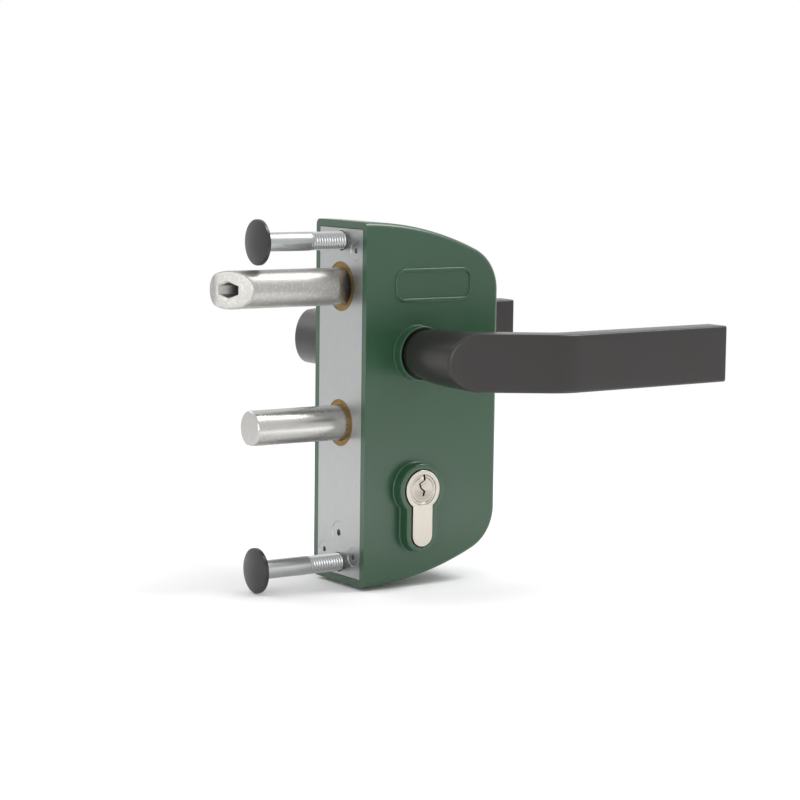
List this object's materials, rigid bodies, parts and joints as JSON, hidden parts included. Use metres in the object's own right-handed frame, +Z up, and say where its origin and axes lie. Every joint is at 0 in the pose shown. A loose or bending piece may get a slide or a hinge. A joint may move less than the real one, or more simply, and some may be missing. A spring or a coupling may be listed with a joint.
{
  "type": "gate lock box",
  "caption": "Surface-mounted gate lock: crowned green case with lever handles on both faces, a bevelled latch, a round dead bolt, a profile cylinder and through-bolts.",
  "frame": {"origin": "centre of the flat mounting face of the case, at mid-height and mid-thickness", "axes": "+X from the mounting face into the case, so both bolts leave along -X; -Y is the front broad face; +Z up"},
  "size_m": [0.2033, 0.1734, 0.1572],
  "materials": {
    "case_green": "moss green powder coat, fine satin",
    "lever_black": "charcoal polyamide, fine moulded texture",
    "cap_black": "black moulded nylon",
    "latch_steel": "blasted cast stainless steel",
    "bolt_steel": "turned bright stainless steel",
    "zinc_steel": "zinc-plated steel",
    "spring_steel": "drawn spring wire",
    "guide_bronze": "plain bearing bronze",
    "bush_nylon": "black bearing nylon",
    "cylinder_nickel": "satin nickel on brass"
  },
  "bodies": {
    "lock_case": {"housing": "case_green", "mounting_plate": "zinc_steel", "plate_screws": "zinc_steel", "fixing_bolts": "zinc_steel", "fixing_caps": "cap_black", "latch_guide": "guide_bronze", "latch_spring": "spring_steel", "dead_bolt_guide": "guide_bronze", "front_bush": "bush_nylon", "rear_bush": "bush_nylon", "follower_spring": "spring_steel", "cylinder_body": "cylinder_nickel", "cylinder_screw": "zinc_steel"},
    "handle_set": {"front_handle": "lever_black", "rear_handle": "lever_black", "handle_screws": "zinc_steel", "spindle": "zinc_steel", "follower": "zinc_steel"},
    "latch_drive": {"latch_yoke": "zinc_steel"},
    "latch": {"latch_bolt": "latch_steel"},
    "key_core": {"front_plug": "cylinder_nickel", "rear_plug": "cylinder_nickel", "plug_clips": "spring_steel", "cylinder_cam": "zinc_steel"},
    "dead_bolt_set": {"dead_bolt": "bolt_steel", "dead_bolt_tail": "zinc_steel", "tail_screws": "zinc_steel"}
  },
  "joints": [
    {"name": "handle_turn", "type": "hinge", "parent": "lock_case", "child": "handle_set", "pos_m": [0.026, 0, 0.0218], "axis": [0, 1, 0], "range_deg": [0, 40], "stiffness_Nm_per_rad": 1.2, "springref_deg": -28.65, "deforming": ["follower_spring"]},
    {"name": "latch_draw", "type": "slide", "parent": "lock_case", "child": "latch_drive", "axis": [1, 0, 0], "range_m": [0, 0.02026], "deforming": ["latch_spring"]},
    {"name": "latch_push", "type": "slide", "parent": "latch_drive", "child": "latch", "axis": [1, 0, 0], "range_m": [0, 0.018], "stiffness_N_per_m": 350, "springref_m": -0.012},
    {"name": "key_turn", "type": "hinge", "parent": "lock_case", "child": "key_core", "pos_m": [0.026, 0, -0.0362], "axis": [0, -1, 0], "range_deg": [0, 88]},
    {"name": "dead_bolt_throw", "type": "slide", "parent": "lock_case", "child": "dead_bolt_set", "axis": [-1, 0, 0], "range_m": [0, 0.01598]}
  ],
  "couplings": [
    {"joint": "latch_draw", "follows": "handle_turn", "m_per_rad": 0.028987},
    {"joint": "key_turn", "follows": "dead_bolt_throw", "rad_per_m": 96.13}
  ]
}
